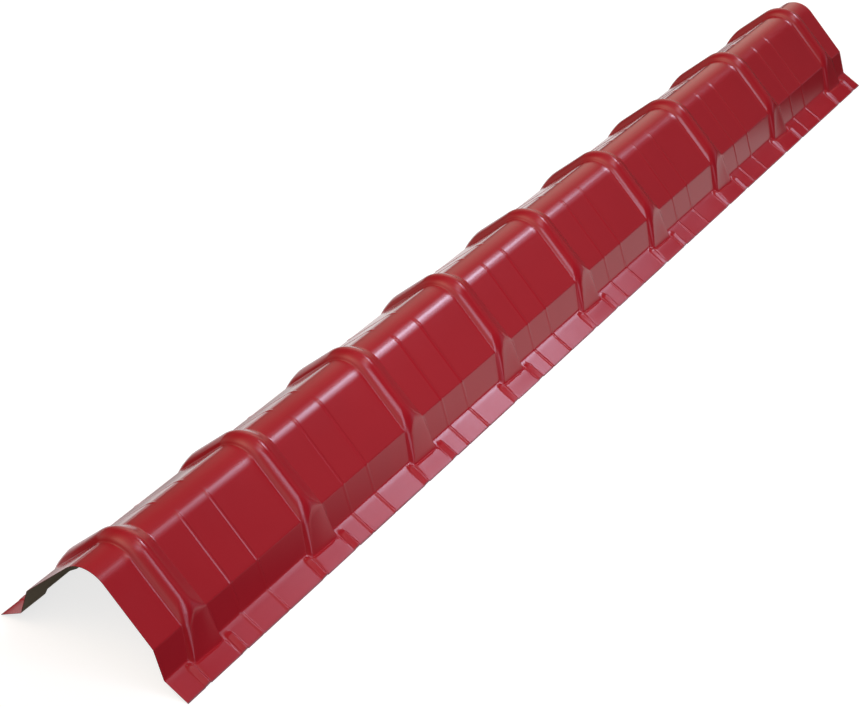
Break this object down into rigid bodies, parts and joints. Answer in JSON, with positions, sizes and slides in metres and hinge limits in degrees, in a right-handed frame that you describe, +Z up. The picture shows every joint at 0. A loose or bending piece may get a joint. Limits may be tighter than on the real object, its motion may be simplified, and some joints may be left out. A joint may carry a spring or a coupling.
{
  "type": "roof ridge cap",
  "caption": "Long pressed steel ridge cap with a rounded top, two slopes, steep side walls and outward flanges, stiffened by nine cross ribs and short flange beads.",
  "frame": {"origin": "on the floor under the middle of the sheet, at the bottom centre of its box", "axes": "+X along the ridge from the near end of the picture to the far end, +Y across the ridge, +Z up"},
  "size_m": [2, 0.278, 0.1405],
  "materials": {
    "coated_steel": "deep red satin-gloss coil coating outside, dull olive-grey backing coat underneath"
  },
  "bodies": {
    "root": {"ridge_cap": "coated_steel"}
  },
  "joints": []
}
